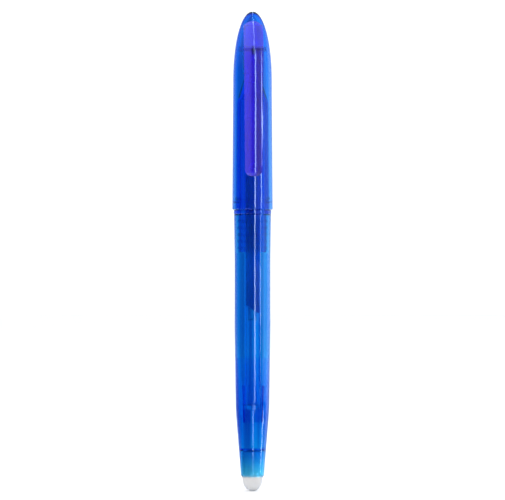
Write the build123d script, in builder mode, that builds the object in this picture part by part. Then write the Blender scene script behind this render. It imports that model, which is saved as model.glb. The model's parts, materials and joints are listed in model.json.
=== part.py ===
from build123d import *
import os

# A capped fabric marking pen with heat-erasable gel ink, standing on its eraser with the cap on.
# Millimetres. The pen's axis is Z, the eraser's crown is at Z = 0 and the pocket clip faces -Y.
# Turned parts are drawn on the XZ plane as (radius, height) and revolved about Z.
os.makedirs("parts", exist_ok=True)

# Driving heights, from the eraser's crown up to the cap's crown.
BARREL_END_Z = 4.4
ERASER_PLUG_TOP_Z = 12.8
REFILL_TAIL_Z = 25.6
BORE_STEP_Z = 41.7
FOLLOWER_END_Z = 53.4
INK_END_Z = 57.9
GRIP_CYLINDER_Z = (52.0, 72.0)
SPIGOT_END_Z = 74.65
BARREL_MOUTH_Z = 86.6
COLLAR_TOP_Z = 87.9
CAP_LIP_Z = 88.0
SECTION_SHOULDER_Z = 90.7
REFILL_SHOULDER_Z = 121.5
NOSE_TOP_Z = 131.2
SEAL_FLANGE_Z = 137.5
BALL_CENTRE_Z = 136.25
PEN_LENGTH = 150.0

# Driving radii.
ERASER_R = 3.2
BARREL_GRIP_R = 5.6
BARREL_MOUTH_R = 5.8
COLLAR_R = 5.88
CAP_LIP_R = 6.34
CAP_DOME_R = 6.07
REFILL_R = 2.6
INK_R = 1.48
BALL_R = 0.35

# Clearances.
SNUG = 0.02
RUNNING = 0.03
LOOSE = 0.15
BALL_SEAL_GAP = 0.25


# ------------------------------------------------------------------ barrel and eraser

TAIL_CONE_TOP = (5.02, 22.4)
BODY_START = (5.29, 28.0)
TAIL_BORE_BOTTOM = (3.2, 13.4)
SPIGOT_SOCKET_R = 4.8


def make_barrel_shell():
    """Clear tapered tube: eraser socket below the ring web, refill bore and spigot socket above it."""
    web_bottom = ERASER_PLUG_TOP_Z + 0.1
    web_hole_r = 2.3
    socket_r = ERASER_R + SNUG
    step_r = 4.2
    bore_r = 4.5
    rim_outer = (3.64, BARREL_END_Z + 1.05)
    tail_slope = (TAIL_CONE_TOP[0] - rim_outer[0], TAIL_CONE_TOP[1] - rim_outer[1])
    with BuildPart() as barrel_shell:
        with BuildSketch(Plane.XZ):
            with BuildLine():
                ThreePointArc((socket_r, BARREL_END_Z), (3.52, BARREL_END_Z + 0.38), rim_outer)
                Line(rim_outer, TAIL_CONE_TOP)
                TangentArc(TAIL_CONE_TOP, BODY_START, tangent=tail_slope)
                Polyline(
                    BODY_START,
                    (BARREL_GRIP_R, GRIP_CYLINDER_Z[0]),
                    (BARREL_GRIP_R, GRIP_CYLINDER_Z[1]),
                    (BARREL_MOUTH_R, BARREL_MOUTH_Z - 0.12),
                    (BARREL_MOUTH_R - 0.1, BARREL_MOUTH_Z),
                    (SPIGOT_SOCKET_R + 0.25, BARREL_MOUTH_Z),
                    (SPIGOT_SOCKET_R, BARREL_MOUTH_Z - 0.4),
                    (SPIGOT_SOCKET_R, SPIGOT_END_Z - 0.25),
                    (bore_r + 0.1, SPIGOT_END_Z - 0.25),
                    (bore_r, BORE_STEP_Z),
                    (step_r, BORE_STEP_Z),
                    TAIL_BORE_BOTTOM,
                    (web_hole_r, TAIL_BORE_BOTTOM[1]),
                    (web_hole_r, web_bottom),
                    (socket_r - 0.3, web_bottom),
                    (socket_r, web_bottom - 0.3),
                    (socket_r, BARREL_END_Z),
                )
            make_face()
        revolve(axis=Axis.Z)
        # Four moulded ribs across the tail bore: their low part seats the refill, the rest centres it.
        rib_thickness = 0.5
        seat_r = 1.2
        seat_z = REFILL_TAIL_Z - 0.05
        for inner_r, low_z, high_z in (
            (seat_r, seat_z - 4.0, seat_z),
            (REFILL_R + LOOSE, seat_z, seat_z + 7.5),
        ):
            with BuildSketch(Plane.XY.offset(low_z)):
                with PolarLocations((inner_r + step_r) / 2, 4, start_angle=45):
                    Rectangle(step_r - inner_r, rib_thickness)
            extrude(amount=high_z - low_z)
    return barrel_shell


def make_eraser_tip():
    """Domed rubber eraser with a plug that fills the barrel's end socket."""
    with BuildPart() as eraser_tip:
        with BuildSketch(Plane.XZ):
            with BuildLine():
                Bezier((0, 0), (1.8, 0), (ERASER_R - 0.1, 1.3), (ERASER_R, BARREL_END_Z))
                Polyline(
                    (ERASER_R, BARREL_END_Z),
                    (ERASER_R, ERASER_PLUG_TOP_Z - 0.6),
                    (ERASER_R - 0.6, ERASER_PLUG_TOP_Z),
                    (0, ERASER_PLUG_TOP_Z),
                    (0, 0),
                )
            make_face()
        revolve(axis=Axis.Z)
    return eraser_tip


# ------------------------------------------------------------------ front section

SPIGOT_R = 4.45
SPIGOT_RIB_COUNT = 5
SPIGOT_RIB_PITCH = 2.1
SPIGOT_FIRST_RIB_Z = 76.0
NOSE_SHOULDER = (4.98, 121.6)
NOSE_TOP_R = 2.0
NOSE_BORE_R = 1.3
SNAP_BEAD_R = 5.5


def spigot_rib_outline():
    """Outline points of the annular ribs that grip the barrel, from the lowest one up."""
    crest_r = SPIGOT_SOCKET_R - RUNNING
    points = []
    for index in range(SPIGOT_RIB_COUNT):
        centre = SPIGOT_FIRST_RIB_Z + index * SPIGOT_RIB_PITCH
        points.append((SPIGOT_R, centre - 0.45))
        points.append((crest_r, centre - 0.2))
        points.append((crest_r, centre + 0.2))
        points.append((SPIGOT_R, centre + 0.45))
    return points


def make_front_section():
    """Clear grip with its nose cone, snap bead, collar flange and ribbed spigot, in one moulding."""
    seat_r = 5.38
    grip_r = 5.22
    bead_low = (grip_r, SECTION_SHOULDER_Z + 0.3)
    bead_crest = (SNAP_BEAD_R, SECTION_SHOULDER_Z + 0.75)
    bead_high = (grip_r, SECTION_SHOULDER_Z + 1.2)
    bore_r = REFILL_R + LOOSE
    bore_end_z = REFILL_SHOULDER_Z + 0.35
    chamber_r = 1.7
    with BuildPart() as front_section:
        with BuildSketch(Plane.XZ):
            with BuildLine():
                Polyline(
                    (bore_r, SPIGOT_END_Z),
                    (SPIGOT_R - 0.2, SPIGOT_END_Z),
                    (SPIGOT_R, SPIGOT_END_Z + 0.2),
                    *spigot_rib_outline(),
                    (SPIGOT_R, BARREL_MOUTH_Z),
                    (COLLAR_R - 0.08, BARREL_MOUTH_Z + SNUG),
                    (COLLAR_R, BARREL_MOUTH_Z + 0.1),
                    (COLLAR_R, COLLAR_TOP_Z - 0.1),
                    (COLLAR_R - 0.1, COLLAR_TOP_Z),
                    (seat_r, COLLAR_TOP_Z),
                    (seat_r, SECTION_SHOULDER_Z),
                    (grip_r, SECTION_SHOULDER_Z),
                    bead_low,
                )
                ThreePointArc(bead_low, bead_crest, bead_high)
                Polyline(
                    bead_high,
                    NOSE_SHOULDER,
                    (NOSE_TOP_R, NOSE_TOP_Z),
                    (NOSE_BORE_R, NOSE_TOP_Z),
                    (NOSE_BORE_R, NOSE_TOP_Z - 3.5),
                    (chamber_r, NOSE_TOP_Z - 3.9),
                    (chamber_r, bore_end_z + 2.6),
                    (bore_r - 0.35, bore_end_z),
                    (bore_r, bore_end_z),
                    (bore_r, SPIGOT_END_Z),
                )
            make_face()
        revolve(axis=Axis.Z)
        shoulder = front_section.edges().filter_by(GeomType.CIRCLE)
        shoulder = shoulder.filter_by(lambda edge: abs(edge.radius - NOSE_SHOULDER[0]) < 0.001)
        fillet(shoulder, radius=2.0)
        nose_rim = front_section.edges().filter_by(GeomType.CIRCLE)
        nose_rim = nose_rim.filter_by(lambda edge: abs(edge.radius - NOSE_TOP_R) < 0.001)
        fillet(nose_rim, radius=0.3)
    return front_section


# ------------------------------------------------------------------ refill

TUBE_TOP_Z = REFILL_SHOULDER_Z
TUBE_BORE_R = INK_R + SNUG
HOLDER_STUB_Z = 116.0
HOLDER_TOP_Z = 127.0
SHANK_R = 1.1
SHANK_BOTTOM_Z = 122.0
INK_DUCT_R = 0.8
TIP_BORE_R = 0.65
TIP_BORE_END_Z = 133.6
BALL_SOCKET_R = BALL_R + SNUG
PLUG_HEAD_TOP_Z = REFILL_TAIL_Z + 1.2
PLUG_STEM_TOP_Z = PLUG_HEAD_TOP_Z + 4.0


def make_refill_tube():
    """Drawn plastic tube that holds the ink and its follower."""
    with BuildPart() as refill_tube:
        with BuildSketch(Plane.XY.offset(PLUG_HEAD_TOP_Z)):
            Circle(REFILL_R)
            Circle(TUBE_BORE_R, mode=Mode.SUBTRACT)
        extrude(amount=TUBE_TOP_Z - PLUG_HEAD_TOP_Z)
        outer_rims = refill_tube.edges().filter_by(GeomType.CIRCLE).sort_by(SortBy.RADIUS)[-2:]
        chamfer(outer_rims, length=0.12)
    return refill_tube


def make_refill_tail_plug():
    """Vented plug that closes the refill's tail and rests on the barrel's ribs."""
    with BuildPart() as refill_tail_plug:
        with BuildSketch(Plane.XY.offset(REFILL_TAIL_Z)):
            Circle(REFILL_R)
        extrude(amount=PLUG_HEAD_TOP_Z - REFILL_TAIL_Z)
        with BuildSketch(Plane.XY.offset(PLUG_HEAD_TOP_Z)):
            Circle(INK_R)
        extrude(amount=PLUG_STEM_TOP_Z - PLUG_HEAD_TOP_Z)
        with Locations((0, 0, PLUG_STEM_TOP_Z)):
            Hole(radius=0.4)
        foot = refill_tail_plug.edges().group_by(Axis.Z)[0]
        chamfer(foot.sort_by(SortBy.RADIUS)[-1], length=0.25)
    return refill_tail_plug


def make_follower_grease():
    """Clear grease that follows the ink up the tube, dished at its free end."""
    dish_centre = (0, FOLLOWER_END_Z + 0.45)
    with BuildPart() as follower_grease:
        with BuildSketch(Plane.XZ):
            with BuildLine():
                ThreePointArc(dish_centre, (0.9, FOLLOWER_END_Z + 0.3), (INK_R, FOLLOWER_END_Z))
                Polyline(
                    (INK_R, FOLLOWER_END_Z),
                    (INK_R, INK_END_Z),
                    (0, INK_END_Z),
                    dish_centre,
                )
            make_face()
        revolve(axis=Axis.Z)
    return follower_grease


def make_ink_column():
    """The ink, from the follower up to the tip holder's stub."""
    with BuildPart() as ink_column:
        with BuildSketch(Plane.XY.offset(INK_END_Z)):
            Circle(INK_R)
        extrude(amount=HOLDER_STUB_Z - INK_END_Z)
    return ink_column


def make_tip_holder():
    """Plastic nozzle pressed into the tube, with the metal tip pressed into its front."""
    nozzle_r = 1.5
    with BuildPart() as tip_holder:
        with BuildSketch(Plane.XZ):
            with BuildLine():
                Polyline(
                    (INK_DUCT_R, HOLDER_STUB_Z),
                    (INK_R - 0.15, HOLDER_STUB_Z),
                    (INK_R, HOLDER_STUB_Z + 0.3),
                    (INK_R, TUBE_TOP_Z),
                    (REFILL_R - 0.35, TUBE_TOP_Z),
                    (nozzle_r, TUBE_TOP_Z + 2.6),
                    (nozzle_r, HOLDER_TOP_Z - 0.2),
                    (nozzle_r - 0.15, HOLDER_TOP_Z),
                    (SHANK_R + SNUG, HOLDER_TOP_Z),
                    (SHANK_R + SNUG, SHANK_BOTTOM_Z),
                    (INK_DUCT_R, SHANK_BOTTOM_Z),
                    close=True,
                )
            make_face()
        revolve(axis=Axis.Z)
    return tip_holder


def make_tip_cone():
    """Turned metal point with an ink bore and the socket that holds the ball."""
    socket_floor_z = BALL_CENTRE_Z - BALL_R - 0.05
    lip_z = BALL_CENTRE_Z + 0.12
    collar_r = SHANK_R + 0.08
    neck_r = 0.95
    ink_port_r = 0.2
    with BuildPart() as tip_cone:
        with BuildSketch(Plane.XZ):
            with BuildLine():
                Polyline(
                    (TIP_BORE_R, SHANK_BOTTOM_Z),
                    (SHANK_R - 0.1, SHANK_BOTTOM_Z),
                    (SHANK_R, SHANK_BOTTOM_Z + 0.2),
                    (SHANK_R, HOLDER_TOP_Z + 0.02),
                    (collar_r, HOLDER_TOP_Z + 0.1),
                    (collar_r, 131.9),
                    (neck_r, 132.3),
                    (neck_r, 132.9),
                    (0.42, lip_z - 0.1),
                    (0.36, lip_z),
                    (BALL_R - 0.005, lip_z),
                    (BALL_SOCKET_R, BALL_CENTRE_Z),
                    (BALL_SOCKET_R, socket_floor_z),
                    (ink_port_r, socket_floor_z),
                    (ink_port_r, TIP_BORE_END_Z + 0.3),
                    (TIP_BORE_R, TIP_BORE_END_Z),
                    close=True,
                )
            make_face()
        revolve(axis=Axis.Z)
    return tip_cone


def make_ball_spring():
    """Fine coil in the tip's bore, which seals the ball against its rim when the pen is idle."""
    wire_r = 0.07
    coil_r = TIP_BORE_R - wire_r - 0.04
    pitch = 0.75
    turns = 7
    with BuildPart() as ball_spring:
        with BuildLine() as coil:
            Helix(pitch=pitch, height=pitch * turns, radius=coil_r, center=(0, 0, 127.5))
        with BuildSketch(Plane(origin=coil.line @ 0, z_dir=coil.line % 0)):
            Circle(wire_r)
        sweep(path=coil.line, is_frenet=True)
    return ball_spring


def make_writing_ball():
    """The carbide ball that rolls the ink on to the cloth."""
    with BuildPart() as writing_ball:
        with Locations((0, 0, BALL_CENTRE_Z)):
            Sphere(BALL_R)
    return writing_ball


# ------------------------------------------------------------------ cap

DOME_START_Z = 128.0
CAP_WAIST = (6.1, 122.0)
CAP_BORE_LIP_R = 5.62
CAP_BORE_TOP = (5.2, 126.5)
CLIP_SLOT_Z = (140.45, 144.75)
TONGUE_Z = (140.6, 144.6)
TONGUE_HALF_WIDTH = 2.0
TONGUE_INNER_R = 2.9
VENT_Z = 136.9


def cap_dome_points(gap=0.0):
    """Control points of the cap's bullet-shaped dome, moved out by a gap."""
    side_r = CAP_DOME_R + gap
    top_z = PEN_LENGTH + gap
    return [(side_r, DOME_START_Z), (side_r, 141.5), (3.3 + gap, top_z), (0, top_z)]


def make_cap_shell():
    """Clear cap: open below, domed above, with a slot for the clip's tongue and an air vent."""
    crown_z = PEN_LENGTH - 1.2
    ring_z = SECTION_SHOULDER_Z - 0.5
    ring_r = SNAP_BEAD_R + RUNNING
    with BuildPart() as cap_shell:
        with BuildSketch(Plane.XZ):
            with BuildLine():
                Polyline(
                    (CAP_BORE_LIP_R, CAP_LIP_Z + 0.15),
                    (CAP_BORE_LIP_R + 0.15, CAP_LIP_Z),
                    (CAP_LIP_R - 0.3, CAP_LIP_Z),
                )
                RadiusArc((CAP_LIP_R - 0.3, CAP_LIP_Z), (CAP_LIP_R, CAP_LIP_Z + 0.3), -0.3)
                Polyline((CAP_LIP_R, CAP_LIP_Z + 0.3), CAP_WAIST, (CAP_DOME_R, DOME_START_Z))
                Bezier(*cap_dome_points())
                Line((0, PEN_LENGTH), (0, crown_z))
                Bezier((0, crown_z), (2.75, crown_z), (CAP_BORE_TOP[0], 139.8), CAP_BORE_TOP)
                Polyline(
                    CAP_BORE_TOP,
                    (CAP_BORE_LIP_R - 0.02, ring_z + 0.35),
                    (ring_r, ring_z + 0.2),
                    (ring_r, ring_z),
                    (CAP_BORE_LIP_R, ring_z - 0.15),
                    (CAP_BORE_LIP_R, CAP_LIP_Z + 0.15),
                )
            make_face()
        revolve(axis=Axis.Z)
        slot_mid_z = sum(CLIP_SLOT_Z) / 2
        with BuildSketch(Plane.XZ):
            with Locations((0, slot_mid_z)):
                Rectangle(2 * (TONGUE_HALF_WIDTH + 0.06), CLIP_SLOT_Z[1] - CLIP_SLOT_Z[0])
            with Locations((0, VENT_Z)):
                SlotOverall(2.6, 1.1, rotation=90)
        extrude(amount=CAP_LIP_R + 1.0, mode=Mode.SUBTRACT)
    return cap_shell


def make_cap_inner_seal():
    """Sealing cup: a flange wedged in the cap's dome and a sleeve that closes over the nose."""
    sleeve_r = 2.35
    sleeve_outer_r = 3.1
    mouth_z = NOSE_TOP_Z - 0.8
    flange_top_z = SEAL_FLANGE_Z + 1.2
    pocket_r = 1.3
    with BuildPart() as cap_inner_seal:
        with BuildSketch(Plane.XZ):
            with BuildLine():
                Polyline(
                    (sleeve_r + 0.25, mouth_z),
                    (sleeve_outer_r, mouth_z),
                    (sleeve_outer_r, SEAL_FLANGE_Z),
                    (4.5, SEAL_FLANGE_Z),
                    (4.33, flange_top_z),
                    (0, flange_top_z),
                    (0, flange_top_z - 0.5),
                    (pocket_r, flange_top_z - 0.5),
                    (pocket_r, SEAL_FLANGE_Z),
                    (sleeve_r, SEAL_FLANGE_Z - 0.2),
                    (sleeve_r, mouth_z + 0.4),
                    close=True,
                )
            make_face()
        revolve(axis=Axis.Z)
    return cap_inner_seal


def make_cap_tip_seal():
    """Soft pellet in the sealing cup that the ball rests against."""
    bottom_z = BALL_CENTRE_Z + BALL_R + BALL_SEAL_GAP
    top_z = SEAL_FLANGE_Z + 0.7
    with BuildPart() as cap_tip_seal:
        with BuildSketch(Plane.XY.offset(bottom_z)):
            Circle(1.28)
        extrude(amount=top_z - bottom_z)
        chamfer(cap_tip_seal.edges().group_by(Axis.Z)[0], length=0.2)
    return cap_tip_seal


# ------------------------------------------------------------------ pocket clip

CLIP_TOP_Z = 146.9
CLIP_ROOT_Z = 138.4
CLIP_TIP_Z = 98.3
CLIP_AXIS_Y = -2.55
CLIP_OUTER_R = 6.2
CLIP_INNER_R = 4.9
CLIP_ROOT_FILLET_R = 0.9
CLIP_TOP_HALF_WIDTH = 3.05
CLIP_TIP_HALF_WIDTH = 2.68
CLIP_GAP = 0.1
CLIP_BEAD_Z = 101.5
CLIP_BEAD_R = 1.15
CLIP_BEAD_FACE_Y = -6.38


def make_pocket_clip():
    """Sprung clip: a block and tongue at the cap's dome, and an arm down the cap to a bead."""
    arm_top = (CLIP_OUTER_R - 0.05, 135.0)
    crown_start = (0.8, CLIP_TOP_Z)
    fillet_low = (CLIP_INNER_R, CLIP_ROOT_Z - CLIP_ROOT_FILLET_R)
    fillet_high = (CLIP_INNER_R - CLIP_ROOT_FILLET_R, CLIP_ROOT_Z)
    core_r = CAP_LIP_R + 0.06
    core_shoulder = (core_r, CAP_WAIST[1] - 1.0)
    with BuildPart() as pocket_clip:
        # The clip is crowned across its width: it is turned about an axis in front of the pen's.
        with BuildSketch(Plane.XZ.offset(-CLIP_AXIS_Y)):
            with BuildLine():
                Polyline((0, CLIP_ROOT_Z), (0, CLIP_TOP_Z), crown_start)
                Bezier(crown_start, (3.75, 145.9), (6.05, 142.0), arm_top)
                Polyline(
                    arm_top,
                    (CLIP_OUTER_R, CLIP_TIP_Z + 1.0),
                    (CLIP_OUTER_R - 0.5, CLIP_TIP_Z),
                    (CLIP_INNER_R + 0.1, CLIP_TIP_Z),
                    (CLIP_INNER_R, CLIP_TIP_Z + 0.2),
                    fillet_low,
                )
                RadiusArc(fillet_low, fillet_high, -CLIP_ROOT_FILLET_R)
                Line(fillet_high, (0, CLIP_ROOT_Z))
            make_face()
        revolve(axis=Axis((0, CLIP_AXIS_Y, 0), (0, 0, 1)))
        with BuildSketch(Plane.XZ) as front_outline:
            with BuildLine():
                Polyline(
                    (-CLIP_TIP_HALF_WIDTH, CLIP_TIP_Z),
                    (CLIP_TIP_HALF_WIDTH, CLIP_TIP_Z),
                    (CLIP_TOP_HALF_WIDTH, CLIP_ROOT_Z),
                    (CLIP_TOP_HALF_WIDTH, CLIP_TOP_Z),
                    (-CLIP_TOP_HALF_WIDTH, CLIP_TOP_Z),
                    (-CLIP_TOP_HALF_WIDTH, CLIP_ROOT_Z),
                    close=True,
                )
            make_face()
            fillet(front_outline.vertices().group_by(Axis.Y)[0], radius=2.0)
        extrude(amount=CLIP_OUTER_R - CLIP_AXIS_Y + 1.0, mode=Mode.INTERSECT)
        with BuildSketch(Plane.XZ):
            with BuildLine():
                Polyline((0, PEN_LENGTH + CLIP_GAP), (0, CLIP_TIP_Z), (core_r, CLIP_TIP_Z), core_shoulder)
                Line(core_shoulder, cap_dome_points(CLIP_GAP)[0])
                Bezier(*cap_dome_points(CLIP_GAP))
            make_face()
        revolve(axis=Axis.Z, mode=Mode.SUBTRACT)
        # The tongue passes through the cap's slot into the hollow dome.
        with BuildSketch(Plane.XZ.offset(TONGUE_INNER_R)):
            with Locations((0, sum(TONGUE_Z) / 2)):
                Rectangle(2 * TONGUE_HALF_WIDTH, TONGUE_Z[1] - TONGUE_Z[0])
        extrude(amount=2.6)
        # The bead on the arm's inner face bears on the cloth of a pocket.
        with Locations((0, CLIP_BEAD_FACE_Y - CLIP_BEAD_R, CLIP_BEAD_Z)):
            Sphere(CLIP_BEAD_R)
    return pocket_clip


MAKERS = {
    "barrel_shell": make_barrel_shell,
    "eraser_tip": make_eraser_tip,
    "front_section": make_front_section,
    "refill_tube": make_refill_tube,
    "refill_tail_plug": make_refill_tail_plug,
    "follower_grease": make_follower_grease,
    "ink_column": make_ink_column,
    "tip_holder": make_tip_holder,
    "tip_cone": make_tip_cone,
    "ball_spring": make_ball_spring,
    "writing_ball": make_writing_ball,
    "cap_shell": make_cap_shell,
    "cap_inner_seal": make_cap_inner_seal,
    "cap_tip_seal": make_cap_tip_seal,
    "pocket_clip": make_pocket_clip,
}

for node, make in MAKERS.items():
    builder = make()
    builder.part.label = node
    export_step(builder.part, f"parts/{node}.step")
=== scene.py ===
import json
import math

import bpy
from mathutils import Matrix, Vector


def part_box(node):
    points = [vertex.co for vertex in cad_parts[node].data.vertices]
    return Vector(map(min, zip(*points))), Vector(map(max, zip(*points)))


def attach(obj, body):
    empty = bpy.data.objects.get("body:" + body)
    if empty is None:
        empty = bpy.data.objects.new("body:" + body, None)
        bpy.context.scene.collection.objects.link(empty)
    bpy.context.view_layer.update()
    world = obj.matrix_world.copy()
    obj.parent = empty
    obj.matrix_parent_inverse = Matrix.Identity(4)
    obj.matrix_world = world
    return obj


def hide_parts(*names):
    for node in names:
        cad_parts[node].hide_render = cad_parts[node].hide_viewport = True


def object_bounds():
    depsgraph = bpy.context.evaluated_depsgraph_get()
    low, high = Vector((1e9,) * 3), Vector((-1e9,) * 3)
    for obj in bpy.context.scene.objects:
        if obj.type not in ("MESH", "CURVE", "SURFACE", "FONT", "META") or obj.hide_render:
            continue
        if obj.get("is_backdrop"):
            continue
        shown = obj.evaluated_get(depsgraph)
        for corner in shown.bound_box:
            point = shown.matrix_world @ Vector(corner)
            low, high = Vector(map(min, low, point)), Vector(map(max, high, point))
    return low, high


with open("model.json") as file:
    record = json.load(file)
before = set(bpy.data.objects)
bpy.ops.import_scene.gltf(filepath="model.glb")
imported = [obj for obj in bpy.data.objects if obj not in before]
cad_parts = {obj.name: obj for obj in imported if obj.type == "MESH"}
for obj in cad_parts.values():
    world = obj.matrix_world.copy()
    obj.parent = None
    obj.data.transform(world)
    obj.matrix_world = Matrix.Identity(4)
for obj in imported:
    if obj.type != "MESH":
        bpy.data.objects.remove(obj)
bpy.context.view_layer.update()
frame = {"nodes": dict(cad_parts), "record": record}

# Metres throughout. The pen stands on its eraser, along the Z axis, with its clip towards -Y.
MM = 0.001

# Heights on the pen, from the frame. The collar stops just short of the cap's lip.
COLLAR_GAP = 0.1 * MM
CLIP_ROOT_HEIGHT = 8.5 * MM
BARREL_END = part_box("barrel_shell")[0].z
BARREL_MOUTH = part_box("barrel_shell")[1].z
ERASER_PLUG_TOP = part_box("eraser_tip")[1].z
COLLAR_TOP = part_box("cap_shell")[0].z - COLLAR_GAP
CLIP_ROOT_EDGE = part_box("pocket_clip")[1].z - CLIP_ROOT_HEIGHT

WHITE = (1.0, 1.0, 1.0)
BLACK = (0.0, 0.0, 0.0)


# ------------------------------------------------------------------ node helpers


def feed(tree, socket, value):
    """Links an output to an input, or sets the input to a plain value."""
    if isinstance(value, bpy.types.NodeSocket):
        tree.links.new(value, socket)
    else:
        socket.default_value = value


def add(tree, kind, settings=None, **inputs):
    """Adds a node, sets it up and feeds its inputs, in whose names underscores stand for spaces."""
    node = tree.nodes.new(kind)
    for key, value in (settings or {}).items():
        setattr(node, key, value)
    for key, value in inputs.items():
        feed(tree, node.inputs[key.replace("_", " ")], value)
    return node


def object_place(tree):
    """The object's own coordinates, in metres."""
    return add(tree, "ShaderNodeTexCoord").outputs["Object"]


def noise(tree, scale, detail=3.0, stretch=(1.0, 1.0, 1.0)):
    """Noise on the object's own coordinates, stretched along its axes."""
    place = add(tree, "ShaderNodeMapping", Vector=object_place(tree), Scale=stretch).outputs["Vector"]
    return add(tree, "ShaderNodeTexNoise", Vector=place, Scale=scale, Detail=detail).outputs["Fac"]


def mapped(tree, value, start=(0.0, 1.0), end=(0.0, 1.0)):
    """Maps a value from the start range on to the end range, and clamps it there."""
    limits = {"From_Min": start[0], "From_Max": start[1], "To_Min": end[0], "To_Max": end[1]}
    return add(tree, "ShaderNodeMapRange", Value=value, **limits).outputs["Result"]


def bump(tree, height, distance, strength):
    """Normals for a surface that stands out with height, by up to a distance in metres."""
    return add(tree, "ShaderNodeBump", Height=height, Distance=distance, Strength=strength).outputs["Normal"]


def along(tree, axis, stops):
    """A colour that runs through (place, colour) stops along one of the object's axes."""
    first, last = stops[0][0], stops[-1][0]
    place = add(tree, "ShaderNodeSeparateXYZ", Vector=object_place(tree)).outputs[axis]
    colours = add(tree, "ShaderNodeValToRGB", Fac=mapped(tree, place, (first, last)))
    marks = colours.color_ramp.elements
    while len(marks) < len(stops):
        marks.new(0.5)
    for mark, (at, colour) in zip(marks, stops):
        mark.position = (at - first) / (last - first)
        mark.color = (*colour, 1.0)
    return colours.outputs["Color"]


def blend_colours(tree, factor, low, high, way="MIX"):
    """The low colour where factor is 0, the high one blended in this way where it is 1."""
    settings = {"data_type": "RGBA", "blend_type": way}
    return add(tree, "ShaderNodeMix", settings, Factor=factor, A=low, B=high).outputs["Result"]


def blend_values(tree, factor, low, high):
    """low where factor is 0, high where it is 1."""
    return add(tree, "ShaderNodeMix", Factor=factor, A=low, B=high).outputs["Result"]


def combine(tree, operation, first, second):
    """Subtracts or multiplies two vectors."""
    node = add(tree, "ShaderNodeVectorMath", {"operation": operation}, Vector=first)
    feed(tree, node.inputs[1], second)
    return node.outputs["Vector"]


def scaled(tree, vector, factor):
    """A vector or colour times a number."""
    node = add(tree, "ShaderNodeVectorMath", {"operation": "SCALE"}, Vector=vector, Scale=factor)
    return node.outputs["Vector"]


# ------------------------------------------------------------------ materials

# Noise scales, in cells to the metre.
HANDLING_SCALE = 90.0
FLOW_SCALE = 160.0
# Flow lines of the moulding run up the pen and are almost flat.
FLOW_STRETCH = (1.0, 1.0, 0.15)
FLOW_DEPTH = 0.02 * MM
FLOW_STRENGTH = 0.012
# Opaque pieces have a fine grain, this many times finer than their mottle.
GRAIN_FINENESS = 6.0
GRAIN_DEPTH = 0.01 * MM
GRAIN_STRENGTH = 0.6
SCATTER_DEPTH = 2.0 * MM
# A shade's soft edge, as shares of its radii, and a radius that takes it right across the pen.
SHADE_EDGE = (0.6, 1.4)
RIGHT_ACROSS = 50.0 * MM
TINT_CHANGE = 0.4 * MM
NO_TINT = ((-10.0 * MM, WHITE), (10.0 * MM, WHITE))


def new_material(name):
    """An empty node material with an output, and its node tree."""
    material = bpy.data.materials.new(name)
    material.use_nodes = True
    tree = material.node_tree
    tree.nodes.clear()
    return material, tree, tree.nodes.new("ShaderNodeOutputMaterial")


def shade(tree, colour, centre, radii, kept):
    """Paints shade into a colour: darkens it to the kept share inside an ellipse seen along Y; centre and
    radii are (X, Z).
    """
    offset = combine(tree, "SUBTRACT", object_place(tree), (centre[0], 0.0, centre[1]))
    offset = combine(tree, "MULTIPLY", offset, (1.0 / radii[0], 0.0, 1.0 / radii[1]))
    distance = add(tree, "ShaderNodeVectorMath", {"operation": "LENGTH"}, Vector=offset).outputs["Value"]
    return scaled(tree, colour, mapped(tree, distance, SHADE_EDGE, (kept, 1.0)))


def tinted_with_painted_shading(tree, tints_and_painted_shading, upper_tints_and_painted_shading, upper_from):
    """Tints with painted shading across the piece, which change to the upper ones at a height."""
    colour = along(tree, "X", tints_and_painted_shading)
    if upper_tints_and_painted_shading:
        above = along(tree, "Z", ((upper_from - TINT_CHANGE, BLACK), (upper_from, WHITE)))
        colour = blend_colours(tree, above, colour, along(tree, "X", upper_tints_and_painted_shading))
    return colour


def clear_plastic(
    name, absorb, tints_and_painted_shading=NO_TINT, upper_tints_and_painted_shading=None, upper_from=0.0, shades=(),
    clearness=1.0, ior=1.5, roughness=(0.015, 0.04),
):
    """Clear moulding. absorb is its loss per millimetre in red, green and blue."""
    material, tree, output = new_material(name)
    flow = noise(tree, FLOW_SCALE, detail=2.0, stretch=FLOW_STRETCH)
    shader = add(
        tree, "ShaderNodeBsdfPrincipled",
        Base_Color=(*WHITE, 1.0),
        IOR=ior,
        Transmission_Weight=clearness,
        Roughness=mapped(tree, noise(tree, HANDLING_SCALE, detail=4.0), end=roughness),
        Normal=bump(tree, flow, FLOW_DEPTH, FLOW_STRENGTH),
    )
    if shades or tints_and_painted_shading is not NO_TINT:
        colour = tinted_with_painted_shading(tree, tints_and_painted_shading, upper_tints_and_painted_shading, upper_from)
        for spot in shades:
            colour = shade(tree, colour, *spot)
        feed(tree, shader.inputs["Base Color"], colour)
    most = max(absorb)
    passed = [1.0 - loss / most for loss in absorb]
    volume = add(tree, "ShaderNodeVolumeAbsorption", Density=most / MM, Color=(*passed, 1.0))
    feed(tree, output.inputs["Surface"], shader.outputs["BSDF"])
    feed(tree, output.inputs["Volume"], volume.outputs["Volume"])
    return material


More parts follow.
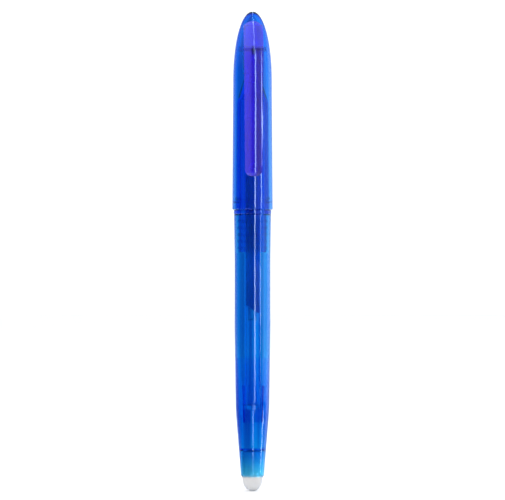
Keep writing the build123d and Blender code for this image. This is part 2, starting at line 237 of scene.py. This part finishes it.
def solid(name, colours, scale, roughness, metallic=0.0, subsurface=0.0, painted_light_and_shade=None):
    """Opaque piece: two close colours mixed by noise, a fine grain, and stops of painted light and shade
    along an axis.
    """
    material, tree, output = new_material(name)
    mottle = noise(tree, scale, detail=4.0)
    colour = blend_colours(tree, mottle, (*colours[0], 1.0), (*colours[1], 1.0))
    if painted_light_and_shade:
        colour = blend_colours(tree, 1.0, colour, along(tree, *painted_light_and_shade), "MULTIPLY")
    shader = add(
        tree, "ShaderNodeBsdfPrincipled",
        Base_Color=colour,
        Metallic=metallic,
        Subsurface_Weight=subsurface,
        Subsurface_Radius=(SCATTER_DEPTH, SCATTER_DEPTH, SCATTER_DEPTH),
        Subsurface_Scale=1.0,
        Roughness=mapped(tree, mottle, end=roughness),
        Normal=bump(tree, noise(tree, scale * GRAIN_FINENESS), GRAIN_DEPTH, GRAIN_STRENGTH),
    )
    feed(tree, output.inputs["Surface"], shader.outputs["BSDF"])
    return material


# Painted shades are (centre, radii, share of the light kept).
# The rims of the collar and of the barrel's mouth turn light away in thin level lines, which are painted
# shade here.
COLLAR_RIM_PAINTED_SHADE = ((0.0, COLLAR_TOP), (RIGHT_ACROSS, 0.18 * MM), 0.6)
BARREL_RIM_PAINTED_SHADE = ((0.0, BARREL_MOUTH), (RIGHT_ACROSS, 0.2 * MM), 0.7)
# The dark look of the cap's vent behind the clip, and the shadow along the root's lower edge, are painted on
# to the clip as shade.
CLIP_VENT_PAINTED_SHADE = ((-0.2 * MM, CLIP_ROOT_EDGE - 1.2 * MM), (0.6 * MM, 1.3 * MM), 0.35)
CLIP_ROOT_PAINTED_SHADOW = ((0.0, CLIP_ROOT_EDGE - 0.7 * MM), (RIGHT_ACROSS, 0.5 * MM), 0.72)

# Across the clip, its violet tint with painted shading: paler on the left, saturated in the middle and
# darker on the right.
CLIP_TINTS_AND_PAINTED_SHADING = (
    (-3.0 * MM, (0.18, 0.18, 1.0)),
    (-1.2 * MM, (0.17, 0.13, 1.0)),
    (-0.5 * MM, (0.07, 0.04, 0.97)),
    (0.4 * MM, (0.07, 0.04, 0.85)),
    (1.2 * MM, (0.09, 0.045, 0.48)),
    (2.0 * MM, (0.09, 0.06, 0.5)),
    (3.0 * MM, (0.08, 0.09, 0.65)),
)
# The root's block is tinted paler and evener than the arm, with painted shading that is paler on the left.
CLIP_ROOT_TINTS_AND_PAINTED_SHADING = (
    (-3.0 * MM, (0.26, 0.30, 1.0)),
    (-0.5 * MM, (0.20, 0.20, 0.95)),
    (1.2 * MM, (0.16, 0.16, 0.88)),
    (3.0 * MM, (0.17, 0.19, 0.88)),
)
# Painted light: the ink is lighter and greener towards the tube's left wall, which softens its left edge.
INK_PAINTED_LIGHT = ((-1.5 * MM, (1.0, 1.9, 1.15)), (-0.3 * MM, WHITE))
# Painted shade: the eraser's plug grows darker and bluer up inside the barrel, where less light reaches it,
# after a first even stretch.
EVEN_PLUG = 2.1 * MM
ERASER_PAINTED_SHADE = ((BARREL_END + EVEN_PLUG, WHITE), (ERASER_PLUG_TOP, (0.5, 0.5, 0.95)))

CLEAR_PLASTICS = {
    "clear_blue_barrel": dict(absorb=(2.8, 0.62, 0.1), shades=(BARREL_RIM_PAINTED_SHADE,)),
    "clear_blue_section": dict(absorb=(1.8, 0.35, 0.05), shades=(COLLAR_RIM_PAINTED_SHADE,)),
    "clear_blue_cap": dict(absorb=(3.2, 0.8, 0.05)),
    "clip_violet": dict(
        absorb=(0.5, 0.8, 0.02),
        tints_and_painted_shading=CLIP_TINTS_AND_PAINTED_SHADING,
        upper_tints_and_painted_shading=CLIP_ROOT_TINTS_AND_PAINTED_SHADING,
        upper_from=CLIP_ROOT_EDGE,
        shades=(CLIP_VENT_PAINTED_SHADE, CLIP_ROOT_PAINTED_SHADOW),
        clearness=0.7,
    ),
    "refill_tube_plastic": dict(absorb=(0.4, 0.22, 0.03), ior=1.42, roughness=(0.12, 0.18)),
    "tip_holder_plastic": dict(absorb=(0.1, 0.08, 0.06), roughness=(0.2, 0.3)),
    "follower_grease": dict(absorb=(0.02, 0.03, 0.06), ior=1.1),
    "seal_plastic": dict(absorb=(0.3, 0.2, 0.05), clearness=0.8, roughness=(0.2, 0.3)),
    "tail_plug_plastic": dict(absorb=(0.02, 0.02, 0.01), ior=1.1, roughness=(0.08, 0.14)),
}
SOLIDS = {
    "ink": dict(
        colours=((0.03, 0.42, 1.0), (0.03, 0.36, 0.95)),
        scale=300.0,
        roughness=(0.35, 0.5),
        painted_light_and_shade=("X", INK_PAINTED_LIGHT),
    ),
    "eraser_rubber": dict(
        colours=((0.66, 0.66, 0.66), (0.61, 0.61, 0.615)),
        scale=400.0,
        roughness=(0.45, 0.6),
        subsurface=0.5,
        painted_light_and_shade=("Z", ERASER_PAINTED_SHADE),
    ),
    "seal_rubber": dict(
        colours=((0.7, 0.7, 0.69), (0.6, 0.6, 0.6)), scale=400.0, roughness=(0.6, 0.7),
    ),
    "tip_metal": dict(
        colours=((0.62, 0.6, 0.55), (0.52, 0.5, 0.46)), scale=500.0, roughness=(0.2, 0.35), metallic=1.0,
    ),
    "spring_wire": dict(
        colours=((0.6, 0.6, 0.6), (0.5, 0.5, 0.5)), scale=500.0, roughness=(0.2, 0.3), metallic=1.0,
    ),
    "ball_carbide": dict(
        colours=((0.3, 0.3, 0.32), (0.25, 0.25, 0.27)), scale=900.0, roughness=(0.1, 0.2), metallic=1.0,
    ),
}

MATERIALS = {name: clear_plastic(name, **look) for name, look in CLEAR_PLASTICS.items()}
MATERIALS.update({name: solid(name, **look) for name, look in SOLIDS.items()})

for entry in frame["record"]["subparts"]:
    data = frame["nodes"][entry["node"]].data
    data.materials.clear()
    data.materials.append(MATERIALS[entry["material_slot"]])


# ------------------------------------------------------------------ ink

INK_SIDES = 64
INK_RINGS = 12
# The ink wets the tube: it reaches just into its wall, so that no air shows between them.
INK_WETTING = 0.04 * MM
INK_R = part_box("ink_column")[1].x + INK_WETTING
# Its lower end goes past the CAD column's, tilts up to the left and is hollowed in the middle.
INK_OVERRUN = 1.15 * MM
INK_TILT = 1.15 * MM
INK_DISH = 1.1 * MM


def level_ring(radius):
    """Points of a circle round the pen's axis, as (x, y)."""
    angles = [2 * math.pi * side / INK_SIDES for side in range(INK_SIDES)]
    return [(radius * math.cos(angle), radius * math.sin(angle)) for angle in angles]


def ink_vertices():
    """The dished and tilted lower end from its middle outwards, the top edge, and the two middles."""
    low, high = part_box("ink_column")
    end = low.z - INK_OVERRUN
    vertices = []
    for step in range(1, INK_RINGS + 1):
        outwards = step / INK_RINGS
        dish = INK_DISH * (1 - outwards ** 2)
        vertices += [(x, y, end - INK_TILT * x / INK_R + dish) for x, y in level_ring(INK_R * outwards)]
    vertices += [(x, y, high.z) for x, y in level_ring(INK_R)]
    return vertices + [(0, 0, end + INK_DISH), (0, 0, high.z)]


def ink_faces():
    """Quads between neighbouring rings, and a fan of triangles round each middle."""
    middle = (INK_RINGS + 1) * INK_SIDES
    top = middle + 1
    faces = []
    for ring in range(INK_RINGS):
        inner, outer = ring * INK_SIDES, (ring + 1) * INK_SIDES
        for side in range(INK_SIDES):
            after = (side + 1) % INK_SIDES
            faces.append((inner + side, inner + after, outer + after, outer + side))
    edge = INK_RINGS * INK_SIDES
    for side in range(INK_SIDES):
        after = (side + 1) % INK_SIDES
        faces.append((middle, after, side))
        faces.append((top, edge + side, edge + after))
    return faces


def ink_column():
    """Ink that wets the tube's wall, with a dished and slightly tilted end towards the follower."""
    mesh = bpy.data.meshes.new("ink_wetting_tube")
    mesh.from_pydata(ink_vertices(), [], ink_faces())
    for face in mesh.polygons:
        face.use_smooth = len(face.vertices) == 4
    mesh.materials.append(MATERIALS["ink"])
    ink = bpy.data.objects.new("ink_wetting_tube", mesh)
    bpy.context.scene.collection.objects.link(ink)
    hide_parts("ink_column")
    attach(ink, "refill")


ink_column()


# ------------------------------------------------------------------ floor and lamp

FLOOR_HALF = 3.0
LAMP_WIDTH = 1.2
LAMP_DEPTH = 0.9
LAMP_WATTS = 6.0
LAMP_PLACE = (0.15, 0.1, 1.3)


def hide_from_plastics(thing):
    """Keeps a thing out of what the plastics mirror and refract, which the studio lights instead."""
    thing.visible_glossy = False
    thing.visible_transmission = False


def pale_floor():
    """A plain pale floor under the pen."""
    mesh = bpy.data.meshes.new("floor")
    corners = [(x * FLOOR_HALF, y * FLOOR_HALF, 0) for x, y in ((-1, -1), (1, -1), (1, 1), (-1, 1))]
    mesh.from_pydata(corners, [], [(0, 1, 2, 3)])
    mesh.materials.append(solid("floor_paint", ((0.9, 0.9, 0.9), (0.88, 0.88, 0.88)), 3.0, (0.7, 0.8)))
    floor = bpy.data.objects.new("floor", mesh)
    bpy.context.scene.collection.objects.link(floor)
    hide_from_plastics(floor)
    floor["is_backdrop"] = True


def overhead_light():
    """A large soft light above and a little behind the pen, which faces down."""
    light = bpy.data.lights.new("overhead", "AREA")
    light.shape = "RECTANGLE"
    light.size = LAMP_WIDTH
    light.size_y = LAMP_DEPTH
    light.energy = LAMP_WATTS
    lamp = bpy.data.objects.new("overhead", light)
    lamp.location = LAMP_PLACE
    hide_from_plastics(lamp)
    bpy.context.scene.collection.objects.link(lamp)


# ------------------------------------------------------------------ studio


def strip(edges, bright, before, after=None):
    """A strip light: it brightens between its first two edges and dims again between its last two."""
    start, full, fading, end = edges
    return (start, before), (full, bright), (fading, bright), (end, before if after is None else after)


# Brightness of the studio by azimuth round the pen: 0 faces the clip, 90 is +X, 180 behind.
# First what the plastics mirror. Part of it is the same at every level but the tail's.
MAIN_STRIP = (8.0, 9.7, 14.8, 16.5)
BEHIND = ((138, 1.0), (190, 0.9), (223, 0.65), (236, 0.4), (250, 0.12), (262, 0.05))
# What level surfaces mirror: two tall strip lights and a soft wall on the right.
MIRRORED_LEVEL = (
    (0, 0.05),
    *strip(MAIN_STRIP, 10.0, 0.05, 0.45),
    *strip((47.0, 48.5, 50.5, 52.0), 12.0, 0.4),
    (62, 0.5), (68, 1.05), (98, 0.9), (103, 0.95), (108, 1.5), (125, 1.6),
    *BEHIND,
    (360, 0.05),
)
# A little below the horizon, which the slightly tapered lower barrel mirrors.
MIRRORED_LOW = (
    (0, 0.03),
    *strip(MAIN_STRIP, 9.0, 0.03),
    *strip((48.0, 49.0, 51.5, 53.0), 3.5, 0.03),
    (62, 0.1), (70, 1.1), (98, 1.0), (108, 1.6), (125, 1.6),
    *BEHIND,
    (360, 0.03),
)
# Lower still, where the barrel tapers more: one strip light and no wall before its right edge.
MIRRORED_TAPER = (
    (0, 0.03),
    *strip(MAIN_STRIP, 6.5, 0.03),
    (98, 0.1), (108, 1.6), (125, 1.6),
    *BEHIND,
    (360, 0.03),
)
# Well below it, which the tail's cone mirrors: a strip right in front, and one on the right.
MIRRORED_TAIL = (
    (0, 5.0), (4.0, 5.0), (5.5, 0.03),
    (45, 0.03), (47, 0.25), (49, 0.03),
    *strip((74, 76, 82, 84), 8.0, 0.1, 0.15),
    (100, 0.5), (118, 1.3), (170, 1.0), (190, 0.6), (223, 0.5), (250, 0.1), (262, 0.03),
    (357, 0.03), (358.5, 5.0), (360, 5.0),
)
# Each table takes over from the one before it between two heights of the ray's direction.
MIRRORED_BELOW = (
    (MIRRORED_LOW, (-0.012, -0.03)),
    (MIRRORED_TAPER, (-0.052, -0.07)),
    (MIRRORED_TAIL, (-0.09, -0.16)),
)
# High up the light is a band over the pen: brightness by the direction's share towards +X.
MIRRORED_HIGH = (
    (-1.0, 0.5), (0.01, 0.5), (0.035, 6.0), (0.095, 6.0), (0.12, 0.3), (0.5, 0.5), (1.0, 0.8),
)
HIGH_FROM = (0.1, 0.3)
# Edges that face down mirror the pale floor.
FLOOR_GLOW = 1.2
FLOOR_FROM = (-0.3, -0.45)
MIRROR_TINT = (0.76, 1.06, 1.6)

# What shows through the plastics: dim right behind the pen, bright to both sides.
REFRACTED_LEVEL = (
    (0, 0.7), (60, 0.9), (95, 1.35), (150, 1.35), (163, 1.3), (166, 0.9),
    (170, 0.6), (172, 0.95), (177, 0.95), (179.5, 0.3), (186, 0.3), (191, 0.4),
    (197, 0.55), (202, 0.72), (208, 0.95), (222, 0.95), (240, 0.8), (262, 0.8),
    (272, 0.5), (288, 0.5), (300, 0.75), (360, 0.7),
)
# The same for rays that leave downwards, as they do through the lower barrel.
REFRACTED_LOW = (
    (0, 0.6), (60, 1.2), (95, 2.0), (142, 2.0), (155, 1.3), (168, 1.0), (178, 0.9), (184, 0.6),
    (190, 0.45), (197, 0.55), (203, 0.8), (210, 1.1), (240, 1.25), (262, 1.0), (300, 0.8), (360, 0.6),
)
REFRACTED_LOW_FROM = (-0.035, -0.06)
# The dimmer the studio, the bluer: its blue goes with this power of the brightness.
DIM_BLUE = 0.5

# Light that the pale pieces inside scatter, by the direction's share towards +X.
SCATTERED = ((-1.0, 1.5), (0.0, 1.6), (0.5, 3.5), (1.0, 5.0))

SURROUND_STRENGTH = 1.15
# Turns Blender's radial gradient so that it starts at the clip.
GRADIENT_TURN = math.radians(-90)


def brightness(tree, place, levels, low=0.0, high=360.0):
    """Brightness at a 0..1 place, from (place, level) pairs whose places run from low to high."""
    node = add(tree, "ShaderNodeFloatCurve", Value=place)
    node.mapping.use_clip = False
    curve = node.mapping.curves[0]
    points = [((at - low) / (high - low), level) for at, level in levels]
    curve.points[0].location = points[0]
    curve.points[1].location = points[-1]
    for point in points[1:-1]:
        curve.points.new(*point)
    for point in curve.points:
        point.handle_type = "VECTOR"
    node.mapping.update()
    return node.outputs["Value"]


def ray_direction(tree):
    """Where a ray goes: its azimuth from 0 to 1, its share towards +X from 0 to 1, and its height."""
    direction = add(tree, "ShaderNodeTexCoord").outputs["Generated"]
    turned = add(tree, "ShaderNodeMapping", Vector=direction, Rotation=(0.0, 0.0, GRADIENT_TURN))
    around = add(tree, "ShaderNodeTexGradient", {"gradient_type": "RADIAL"}, Vector=turned.outputs["Vector"])
    shares = add(tree, "ShaderNodeSeparateXYZ", Vector=direction)
    across = mapped(tree, shares.outputs["X"], (-1.0, 1.0))
    return around.outputs["Fac"], across, shares.outputs["Z"]


def mirrored_light(tree, azimuth, across, height):
    """What the plastics mirror, level by level."""
    light = brightness(tree, azimuth, MIRRORED_LEVEL)
    for levels, heights in MIRRORED_BELOW:
        light = blend_values(tree, mapped(tree, height, heights), light, brightness(tree, azimuth, levels))
    high = brightness(tree, across, MIRRORED_HIGH, -1.0, 1.0)
    light = blend_values(tree, mapped(tree, height, HIGH_FROM), light, high)
    light = blend_values(tree, mapped(tree, height, FLOOR_FROM), light, FLOOR_GLOW)
    return scaled(tree, MIRROR_TINT, light)


def refracted_light(tree, azimuth, height):
    """What shows through the plastics."""
    light = brightness(tree, azimuth, REFRACTED_LEVEL)
    low = brightness(tree, azimuth, REFRACTED_LOW)
    light = blend_values(tree, mapped(tree, height, REFRACTED_LOW_FROM), light, low)
    blue = add(tree, "ShaderNodeMath", {"operation": "POWER"})
    feed(tree, blue.inputs[0], light)
    feed(tree, blue.inputs[1], DIM_BLUE)
    colour = add(tree, "ShaderNodeCombineColor", Red=light, Green=light, Blue=blue.outputs["Value"])
    return colour.outputs["Color"]


def studio_world():
    """A white surround, and a studio apart for what the plastics mirror, refract and scatter."""
    world = bpy.data.worlds.new("studio")
    bpy.context.scene.world = world
    world.use_nodes = True
    tree = world.node_tree
    tree.nodes.clear()
    azimuth, across, height = ray_direction(tree)
    mirrored = mirrored_light(tree, azimuth, across, height)
    refracted = refracted_light(tree, azimuth, height)
    scattered = brightness(tree, across, SCATTERED, -1.0, 1.0)
    path = add(tree, "ShaderNodeLightPath").outputs
    has_scattered = add(tree, "ShaderNodeMath", {"operation": "MINIMUM"})
    feed(tree, has_scattered.inputs[0], path["Diffuse Depth"])
    feed(tree, has_scattered.inputs[1], 1.0)
    direct = blend_colours(tree, path["Is Reflection Ray"], refracted, mirrored)
    light = blend_colours(tree, has_scattered.outputs["Value"], direct, scattered)
    surround = add(tree, "ShaderNodeBackground", Color=(*WHITE, 1.0), Strength=SURROUND_STRENGTH)
    studio = add(tree, "ShaderNodeBackground", Color=light)
    # Rays that a plastic mirrors or refracts both count as glossy.
    choose = add(tree, "ShaderNodeMixShader", Fac=path["Is Glossy Ray"])
    feed(tree, choose.inputs[1], surround.outputs["Background"])
    feed(tree, choose.inputs[2], studio.outputs["Background"])
    add(tree, "ShaderNodeOutputWorld", Surface=choose.outputs["Shader"])


# ------------------------------------------------------------------ camera

CAMERA_DISTANCE = 1.1
CAMERA_TURN = math.radians(-3.0)
CAMERA_RISE = 0.37 * MM
# The pen's height, as a share of the frame's width.
PEN_SHARE = 0.9491
SENSOR_WIDTH = 36.0
NEAREST = 0.01


def camera():
    """Level camera near the pen's mid height, turned a little so the clip sits right of centre."""
    low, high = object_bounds()
    frame_width = (high.z - low.z) / PEN_SHARE
    data = bpy.data.cameras.new("camera")
    data.sensor_width = SENSOR_WIDTH
    data.lens = SENSOR_WIDTH * CAMERA_DISTANCE / frame_width
    data.clip_start = NEAREST
    view = bpy.data.objects.new("camera", data)
    across = CAMERA_DISTANCE * math.sin(CAMERA_TURN)
    back = CAMERA_DISTANCE * math.cos(CAMERA_TURN)
    view.location = (across, -back, (low.z + high.z) / 2 + CAMERA_RISE)
    view.rotation_euler = (math.radians(90), 0, CAMERA_TURN)
    bpy.context.scene.collection.objects.link(view)
    bpy.context.scene.camera = view


pale_floor()
studio_world()
overhead_light()
camera()

# Light crosses many clear surfaces on its way through the pen, so it may bounce often.
scene = bpy.context.scene
scene.view_settings.view_transform = "Standard"
scene.cycles.max_bounces = 32
scene.cycles.transmission_bounces = 32
scene.cycles.glossy_bounces = 8
scene.cycles.use_denoising = True
